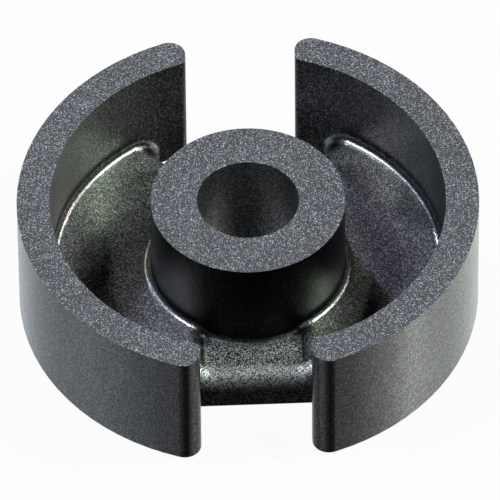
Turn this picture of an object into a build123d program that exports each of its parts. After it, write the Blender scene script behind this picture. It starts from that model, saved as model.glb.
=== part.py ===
from build123d import *
import os

# One half of a ferrite pot core: a round cup with a hollow centre post,
# pressed and fired in one piece, so it is one solid.
# Millimetres, +Z up, underside on Z = 0, wire slots along +Y and -Y.

# driving sizes
outer_d = 14.0            # across the outside of the wall
wall = 1.0                # thickness of the wall
post_d = 5.9              # centre post
bore_d = 3.1              # hole down the post
height = 4.15             # underside to the ground mating faces
floor_z = 1.25            # top of the floor of the winding space
root_r = 0.25             # concave radius where the floor meets wall and post

slot_w = 3.35             # wire slot through the wall
slot_lip_r = 0.5          # outer upright edges of each slot
slot_inner_r = 0.2        # inner upright edges of each slot

recess_w = 5.3            # floor cut-out behind each slot
recess_depth = 1.4        # from the wall's inner face in to the straight edge
recess_corner_r = 0.45    # plan radius of the two blind corners
floor_edge_r = 0.65       # rounded top edge of the floor at the cut-out

channel_w = 3.4           # shallow wire channel, across its top
channel_depth = 0.2       # below the floor of the winding space
channel_run = 0.3         # plan width of each sloping side
channel_lip_r = 0.6       # softens the top edge of each sloping side
channel_foot_r = 0.4      # softens the foot of each sloping side

# derived sizes
outer_r = outer_d / 2
wall_inner_r = outer_r - wall
post_r = post_d / 2
recess_y = wall_inner_r - recess_depth
channel_z = floor_z - channel_depth
channel_half = channel_w / 2
channel_flat_half = channel_half - channel_run

BASE = (Align.CENTER, Align.CENTER, Align.MIN)
NEAR = 2e-3               # matching tolerance when picking edges
OVER = 1.0                # how far a cutter runs past what it cuts


def disc(radius, z0, z1):
    return Pos(0, 0, z0) * Cylinder(radius, z1 - z0, align=BASE)


def radius_of(v):
    return (v.X ** 2 + v.Y ** 2) ** 0.5


def on_circle(edge, radius):
    """True where the whole edge lies on an upright cylinder about Z."""
    points = [edge.position_at(i / 8) for i in range(9)]
    return all(abs(radius_of(p) - radius) < NEAR for p in points)


def recess_cutter(side):
    """Cut-out in the floor, open outwards, with two rounded blind corners."""
    reach = outer_r + OVER - recess_y
    plan = Pos(0, side * (recess_y + reach / 2)) * Rectangle(recess_w, reach)
    blind = [v for v in plan.vertices() if abs(abs(v.Y) - recess_y) < NEAR]
    return extrude(fillet(blind, recess_corner_r), amount=floor_z)


def channel_cutter(side):
    """Shallow wire channel with sloping sides, from the axis outwards."""
    top_half = channel_half + channel_run
    section = Plane.XZ * make_face(Polyline(
        (-channel_flat_half, channel_z),
        (channel_flat_half, channel_z),
        (top_half, floor_z + channel_depth),
        (-top_half, floor_z + channel_depth),
        close=True))
    return extrude(section, amount=-side * (recess_y + OVER))


def channel_side_edges(plate, half):
    """Straight edges along the channel at the given half width."""
    found = plate.edges().filter_by(GeomType.LINE).filter_by(Axis.Y)
    return [e for e in found
            if abs(abs(e.center().X) - half) < NEAR
            and e.center().Z > channel_z - NEAR]


def rim_edges(plate):
    """Top edges of the floor round both cut-outs, across the channel too."""
    return [e for e in plate.edges()
            if e.center().Z > channel_z - NEAR
            and abs(e.center().Y) > recess_y - NEAR
            and abs(e.center().X) < recess_w / 2 + NEAR
            and not on_circle(e, outer_r)]


def floor_plate():
    """Floor with its cut-outs, channel and rounded edges, up to the wall."""
    plate = disc(outer_r, 0, floor_z)
    for side in (1, -1):
        plate -= recess_cutter(side)
        plate -= channel_cutter(side)
    plate = fillet(channel_side_edges(plate, channel_half), channel_lip_r)
    plate = fillet(channel_side_edges(plate, channel_flat_half), channel_foot_r)
    plate = fillet(rim_edges(plate), floor_edge_r)
    return plate & disc(wall_inner_r, 0, floor_z)


def slot_edges(ring, radius):
    """Upright edges of the wire slots at the given distance from the axis."""
    found = ring.edges().filter_by(GeomType.LINE).filter_by(Axis.Z)
    return [e for e in found
            if abs(radius_of(e.center()) - radius) < NEAR
            and abs(abs(e.center().X) - slot_w / 2) < NEAR]


def wall_ring():
    """Outer wall, parted by the two wire slots."""
    ring = disc(outer_r, 0, height) - disc(wall_inner_r, 0, height)
    ring -= Box(slot_w, outer_d + OVER, height, align=BASE)
    ring = fillet(slot_edges(ring, outer_r), slot_lip_r)
    return fillet(slot_edges(ring, wall_inner_r), slot_inner_r)


def root_edges(part, radius):
    """Edges where the floor surfaces meet the post or the wall."""
    return [e for e in part.edges()
            if on_circle(e, radius)
            and NEAR < e.center().Z < floor_z + NEAR]


def core_half():
    part = floor_plate() + wall_ring() + disc(post_r, 0, height)
    part = fillet(root_edges(part, post_r), root_r)
    part = fillet(root_edges(part, wall_inner_r), root_r)
    return part - disc(bore_d / 2, 0, height)


if __name__ == "__main__":
    os.makedirs("parts", exist_ok=True)
    export_step(core_half().solids()[0], "parts/core_half.step")
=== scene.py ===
import math

import bpy
from mathutils import Matrix, Vector


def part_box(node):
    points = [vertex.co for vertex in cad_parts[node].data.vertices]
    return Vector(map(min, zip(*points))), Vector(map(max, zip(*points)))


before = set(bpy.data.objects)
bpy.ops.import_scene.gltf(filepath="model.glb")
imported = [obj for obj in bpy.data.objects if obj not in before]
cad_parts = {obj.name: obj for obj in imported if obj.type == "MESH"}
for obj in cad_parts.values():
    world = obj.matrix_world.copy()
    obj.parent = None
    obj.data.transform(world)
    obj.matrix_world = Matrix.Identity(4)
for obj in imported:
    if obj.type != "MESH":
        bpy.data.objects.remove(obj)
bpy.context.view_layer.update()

# ---------------------------------------------------------------- core half
# One half of a ferrite pot core: a thin floor, a hollow centre post and a round
# wall that two slots split in two. It is pressed from ferrite powder and fired
# in one piece. The wall and the post are then ground flat to meet the other half.

MM = 0.001
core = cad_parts["core_half"]
core_low, core_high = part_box("core_half")


class Signal:
    """The output of one node. Arithmetic on it adds the Math node that does it."""

    def __init__(self, finish, socket):
        self.finish = finish
        self.socket = socket

    def math(self, operation, *values):
        inputs = dict(enumerate(values))
        return self.finish.add("Math", {"operation": operation}, inputs)

    def __add__(self, other):
        return self.math("ADD", self, other)

    def __sub__(self, other):
        return self.math("SUBTRACT", self, other)

    def __rsub__(self, other):
        return self.math("SUBTRACT", other, self)

    def __mul__(self, other):
        return self.math("MULTIPLY", self, other)

    def __truediv__(self, other):
        return self.math("DIVIDE", self, other)

    def __pow__(self, other):
        return self.math("POWER", self, other)

    __radd__ = __add__
    __rmul__ = __mul__


class Finish:
    """The nodes of one material or world."""

    def __init__(self, owner):
        owner.use_nodes = True
        self.tree = owner.node_tree
        self.tree.nodes.clear()

    def add(self, kind, settings=None, inputs=None, output=0):
        node = self.tree.nodes.new("ShaderNode" + kind)
        for name, value in (settings or {}).items():
            setattr(node, name, value)
        for name, value in (inputs or {}).items():
            if isinstance(value, Signal):
                self.tree.links.new(value.socket, node.inputs[name])
            else:
                node.inputs[name].default_value = value
        return Signal(self, node.outputs[output]) if node.outputs else None

    def step(self, value, low, high):
        """0 below low, 1 above high and smooth between them."""
        limits = {"Value": value, "From Min": low, "From Max": high}
        return self.add("MapRange", {"interpolation_type": "SMOOTHSTEP"}, limits)

    def blend(self, factor, first, second):
        """The first colour where factor is 0, and the second where it is 1."""
        inputs = {0: factor, 6: first, 7: second}
        return self.add("Mix", {"data_type": "RGBA"}, inputs, output=2)


ferrite_material = bpy.data.materials.new("ferrite")
ferrite = Finish(ferrite_material)
place = ferrite.add("TexCoord", output="Object")
height = ferrite.add("SeparateXYZ", inputs={0: place}, output="Z")
facing = ferrite.add("NewGeometry", output="Normal")
upward = ferrite.add("SeparateXYZ", inputs={0: facing}, output="Z")

across = ferrite.add("VectorMath", {"operation": "MULTIPLY"}, {0: place, 1: (1, 1, 0)})
radius = ferrite.add("VectorMath", {"operation": "LENGTH"}, {0: across}, output="Value")

# Where the faces lie, for the masks below.
BORE_RADIUS = 1.55 * MM
POST_RADIUS = 2.95 * MM
WALL_INSIDE = 6.0 * MM
WALL_OUTSIDE = 7.0 * MM
CHANNEL_HEIGHT = 1.05 * MM
FLOOR_HEIGHT = 1.25 * MM
CUTOUT_START = 3.85 * MM

# The ground faces are all that lies in the top plane.
GROUND_EDGE = 0.004 * MM
ground = ferrite.step(height, core_high.z - GROUND_EDGE, core_high.z - 0.2 * GROUND_EDGE)

# The punches press the faces that look up or down, and the die draws the upright
# ones. The rounded edges at the cut-outs in the floor stay a little coarser, and
# the hollow corners round the post and inside the wall come out shinier.
pressed = ferrite.step(upward.math("ABSOLUTE", upward), 0.80, 0.97) * (1 - ground)
outside = ferrite.step(radius, WALL_OUTSIDE - 0.25 * MM, WALL_OUTSIDE - 0.1 * MM)
outside = outside * (1 - ground) * (1 - pressed)
bore = 1 - ferrite.step(radius, BORE_RADIUS + 0.05 * MM, BORE_RADIUS + 0.15 * MM)
bore = bore * (1 - ground) * (1 - pressed)
inside = ferrite.step(height, 0.5 * MM, 0.7 * MM)
shaded_post_side = 1 - ferrite.step(radius, POST_RADIUS + 0.05 * MM, POST_RADIUS + 0.2 * MM)
shaded_post_side = shaded_post_side * (1 - pressed) * (1 - ground)
low = 1 - ferrite.step(height, FLOOR_HEIGHT + 0.25 * MM, FLOOR_HEIGHT + 0.31 * MM)
post_root = ferrite.step(radius, POST_RADIUS + 0.01 * MM, POST_RADIUS + 0.05 * MM)
post_root = post_root * (1 - ferrite.step(radius, POST_RADIUS + 0.17 * MM, POST_RADIUS + 0.35 * MM))
wall_root = ferrite.step(radius, WALL_INSIDE - 0.3 * MM, WALL_INSIDE - 0.14 * MM)
wall_root = wall_root * (1 - ferrite.step(radius, WALL_INSIDE - 0.02 * MM, WALL_INSIDE))
root = (post_root + wall_root) * low * inside
to_slot = ferrite.add("SeparateXYZ", inputs={0: place}, output="Y")
to_slot = to_slot.math("ABSOLUTE", to_slot)
near_edge = ferrite.step(to_slot, CUTOUT_START, CUTOUT_START + 0.2 * MM)
near_edge = near_edge * (1 - ferrite.step(radius, WALL_INSIDE - 0.7 * MM, WALL_INSIDE - 0.3 * MM))
edge = near_edge * ferrite.step(upward, 0.2, 0.6)
edge = edge * (1 - ferrite.step(height, FLOOR_HEIGHT + 0.01 * MM, FLOOR_HEIGHT + 0.05 * MM))
channel = 1 - ferrite.step(height, CHANNEL_HEIGHT + 0.03 * MM, CHANNEL_HEIGHT + 0.15 * MM)
channel = pressed * channel * (1 - edge) * inside


def laid(below, mask, above):
    """The value above where mask is 1, and the one below elsewhere."""
    return below + (above - below) * mask


# How much light each kind of face mirrors, how much it scatters, and its roughness.
# Where two kinds overlap, the later line holds. Some amounts are painted light and
# shade, not finish: the post's sides are painted darker, and the outside of the wall,
# the bore, the channel and the rounded cut-out edges are painted lighter.
# Painted shade: the post's sides get far less shine than the other drawn upright faces.
shine = laid(0.062, shaded_post_side, 0.017)
shine = laid(shine, near_edge * low, 0.25)
shine = laid(shine, pressed, 0.30)
# Painted light: the channel gets more shine than the rest of the pressed floor.
shine = laid(shine, channel, 0.46)
shine = laid(shine, root, 0.30)
# Painted highlight: the rounded cut-out edges get the most shine of all faces.
shine = laid(shine, edge, 0.68)
# Painted sheen: the outside of the wall mirrors far more than its inside.
shine = laid(shine, outside, 0.29)
# Painted light: the bore mirrors more than the other upright faces.
shine = laid(shine, bore, 0.19)
shine = laid(shine, ground, 0.215)
matt = laid(0.0003, pressed, 0.063)
matt = laid(matt, channel + edge + root, 0.008)
# Painted light: the channel scatters more than the rest of the pressed floor.
matt = laid(matt, channel, 0.085)
matt = laid(matt, outside, 0.003)
# Painted light: the bore scatters more than the other upright faces.
matt = laid(matt, bore, 0.023)
matt = laid(matt, ground, 0.004)
roughness = laid(0.33, channel + edge, 0.50)
roughness = laid(roughness, root, 0.28)
roughness = laid(roughness, outside, 0.25)
roughness = laid(roughness, bore, 0.46)
roughness = laid(roughness, ground, 0.75)

# Powder grain: cells of about 0.025 mm. Their tone raised to a power, and scaled
# to a mean of 1, gives a few bright grains on an even dark ground.
GRAIN = 0.024 * MM
cells = ferrite.add(
    "TexVoronoi", {"feature": "F1"}, {"Vector": place, "Scale": 1 / GRAIN}, output="Color"
)
cell_tone = ferrite.add("SeparateColor", inputs={0: cells}, output=0)
cell_hue = ferrite.add("SeparateColor", inputs={0: cells}, output=1)
cell_tint = ferrite.add("SeparateColor", inputs={0: cells}, output=2)
fine = ferrite.add(
    "TexNoise", inputs={"Vector": place, "Scale": 0.7 / GRAIN, "Detail": 2.0}, output=0
)
cloud = ferrite.add(
    "TexNoise", inputs={"Vector": place, "Scale": 1 / (1.2 * MM), "Detail": 3.0}, output=0
)

# The die leaves faint upright marks on the inside of the wall and on the post.
drawn_way = ferrite.add("VectorMath", {"operation": "MULTIPLY"}, {0: place, 1: (1, 1, 0.05)})
marks = ferrite.add(
    "TexNoise", inputs={"Vector": drawn_way, "Scale": 1 / (0.10 * MM), "Detail": 2.0}, output=0
)
drawn = (1 - pressed) * (1 - ground) * (1 - edge) * (1 - outside) * (1 - bore) * (1 - root)

rarity = 6 + 2 * ground - 3.5 * outside - 3 * edge - 3 * bore - drawn
bright_grains = (rarity + 1) * cell_tone ** rarity

# The grain is strongest in the gloss of the upright and rounded faces. On the
# punched floor it shows in the scattered light too.
punched = pressed * (1 - channel) * (1 - edge) * (1 - root)
bright_share = 0.95 - 0.53 * ground - 0.49 * outside - 0.10 * bore - 0.50 * root - 0.15 * drawn
bright_share = bright_share - 0.42 * punched
grain = 1 + bright_share * (bright_grains - 1)
grain = grain * (0.85 + 0.3 * cloud)
grain = grain * (1 + 0.8 * drawn * (marks - 0.5))

# One grain in fifty is turned so that it sparkles.
sparkle = ferrite.step(cell_hue, 0.975, 0.985) * (0.2 + 0.4 * ground - 0.2 * outside - 0.2 * drawn)
shine = laid(shine * grain, sparkle, 0.57)
matt = matt * (1 + (punched + channel) * (bright_grains - 1))
shade = matt + shine
shade = shade.math("MINIMUM", shade, 0.95)
metal = 1 - matt / shade

# Each grain is a little warmer or cooler than the next.
cell_tint = 0.5 + (cell_tint - 0.5) * (1 - 0.4 * outside)
tint = ferrite.blend(cell_tint, (1.11, 1.00, 0.89, 1), (0.89, 1.00, 1.11, 1))
colour = ferrite.add("VectorMath", {"operation": "SCALE"}, {0: tint, "Scale": shade})
relief = fine + 0.3 * cell_tone
bumps = ferrite.add(
    "Bump", inputs={"Height": relief, "Strength": 0.25, "Distance": 0.004 * MM}
)
surface = ferrite.add(
    "BsdfPrincipled",
    inputs={
        "Base Color": colour,
        "Metallic": metal,
        "Roughness": roughness,
        "IOR": 1.8,
        "Normal": bumps,
    },
)
ferrite.add("OutputMaterial", inputs={"Surface": surface})
core.data.materials.clear()
core.data.materials.append(ferrite_material)

# -------------------------------------------------------- floor and backdrop
# A wide sheet of matt white board carries the part and reaches past every view.
# Cameras see it white, with a soft shadow. Gloss looks past it, as past a glass
# table, into a white studio that is dark in front and brighter to the back, with a
# window on the right and a faint blue tinge on the left.

SHEET_SIZE = 3.0
BOARD_WHITE = 0.95
bpy.ops.mesh.primitive_plane_add(size=SHEET_SIZE, location=(0, 0, core_low.z - 0.01 * MM))
sheet = bpy.context.object
sheet.name = "white_sheet"
sheet_material = bpy.data.materials.new("white_sheet")
board = Finish(sheet_material)
board_matt = board.add("BsdfDiffuse", inputs={"Color": (0.8, 0.8, 0.8, 1)})
glow = board.add("Emission", inputs={"Color": (1, 1, 1, 1), "Strength": 1.0})
clear = board.add("BsdfTransparent", inputs={"Color": (1, 1, 1, 1)})
camera_ray = board.add("LightPath", output="Is Camera Ray")
glossy_ray = board.add("LightPath", output="Is Glossy Ray")
seen = board.add("MixShader", inputs={0: camera_ray * BOARD_WHITE, 1: board_matt, 2: glow})
seen = board.add("MixShader", inputs={0: glossy_ray, 1: seen, 2: clear})
board.add("OutputMaterial", inputs={"Surface": seen})
sheet.data.materials.append(sheet_material)

studio = bpy.data.worlds.new("studio")
bpy.context.scene.world = studio
air = Finish(studio)
outwards = air.add("TexCoord", output="Generated")
rise = air.add("SeparateXYZ", inputs={0: outwards}, output="Z")
level_way = air.add("VectorMath", {"operation": "MULTIPLY"}, {0: outwards, 1: (1, 1, 0)})
level_way = air.add("VectorMath", {"operation": "NORMALIZE"}, {0: level_way})
to_right = air.add("SeparateXYZ", inputs={0: level_way}, output="X")
to_back = air.add("SeparateXYZ", inputs={0: level_way}, output="Y")
rightness = air.step(to_right, -0.7, 0.7)
from_front = air.step(to_back, 0.32 * rightness - 1.3, 0.15)
window = air.step(to_back, -0.22, -0.06) * (1 - air.step(to_back, 0.0, 0.14)) * rightness
LEFT_WHITE = 0.39
RIGHT_MORE = 0.25
BACK_MORE = 0.42
WINDOW_MORE = 0.58
side = LEFT_WHITE + RIGHT_MORE * rightness + BACK_MORE * air.step(to_back, 0.52, 1.02)
side = side + WINDOW_MORE * window
below = 1 - air.step(rise, -0.10, 0.0)
studio_white = from_front * side * below
camera_ray = air.add("LightPath", output="Is Camera Ray")
glossy_ray = air.add("LightPath", output="Is Glossy Ray")
strength = camera_ray + glossy_ray * studio_white
tinge = air.blend(rightness, (0.90, 0.99, 1.06, 1), (0.95, 1.01, 0.95, 1))
tinge = air.blend(camera_ray, tinge, (1, 1, 1, 1))
white = air.add("Background", inputs={"Color": tinge, "Strength": strength})
air.add("OutputWorld", inputs={"Surface": white})

# -------------------------------------------------------------------- lights
# Soft lamps stand round the back and the sides of the part. The ones on the
# left are a little blue and the ones on the right a little green.


def lamp(name, turn, rise, spread, strength):
    """A far lamp at turn degrees from +X and rise above the sheet."""
    data = bpy.data.lights.new(name, "SUN")
    data.angle = math.radians(spread)
    data.energy = max(strength)
    data.color = [part / max(strength) for part in strength]
    light = bpy.data.objects.new(name, data)
    bpy.context.scene.collection.objects.link(light)
    turn = math.radians(turn)
    rise = math.radians(rise)
    out = Vector((
        math.cos(turn) * math.cos(rise),
        math.sin(turn) * math.cos(rise),
        math.sin(rise),
    ))
    light.matrix_world = out.to_track_quat("Z", "Y").to_matrix().to_4x4()


lamp("lamp_left_high", 179, 58, 4, (0.93, 0.99, 1.10))
lamp("lamp_left", 150, 45, 12, (0.08, 0.11, 0.14))
lamp("lamp_back_left", 119.4, 34, 4, (0.77, 0.78, 1.19))
lamp("lamp_back", 112, 40, 8, (0.11, 0.11, 0.09))
lamp("lamp_right_back", 37, 37, 10, (0.40, 0.42, 0.42))
lamp("lamp_right_low", 20, 30, 8, (0.16, 0.12, 0.14))
lamp("lamp_right_high", 6, 51, 4, (0.97, 1.16, 0.92))
lamp("lamp_right_front", 350, 45, 8, (0.31, 0.34, 0.33))

# -------------------------------------------------------------------- camera
# A long lens in front of the part, looking down into it at about 48 degrees.

azimuth = math.radians(1.9)
elevation = math.radians(47.878)
roll = math.radians(-0.543)
distance = 348.75 * MM
aim = Vector((0.05, 0.0, 1.889)) * MM
forward = Vector((
    math.sin(azimuth) * math.cos(elevation),
    math.cos(azimuth) * math.cos(elevation),
    -math.sin(elevation),
))
level = Vector((math.cos(azimuth), -math.sin(azimuth), 0))
upright = level.cross(forward)
right = level * math.cos(roll) + upright * math.sin(roll)
up = upright * math.cos(roll) - level * math.sin(roll)
camera = bpy.data.objects.new("camera", bpy.data.cameras.new("camera"))
bpy.context.scene.collection.objects.link(camera)
camera.data.sensor_width = 36.0
camera.data.lens = 826.0
camera.data.clip_start = 0.01
camera.data.clip_end = 10.0
turned = Matrix((right, up, -forward)).transposed().to_4x4()
camera.matrix_world = Matrix.Translation(aim - forward * distance) @ turned
bpy.context.scene.camera = camera
bpy.context.scene.view_settings.view_transform = "Standard"
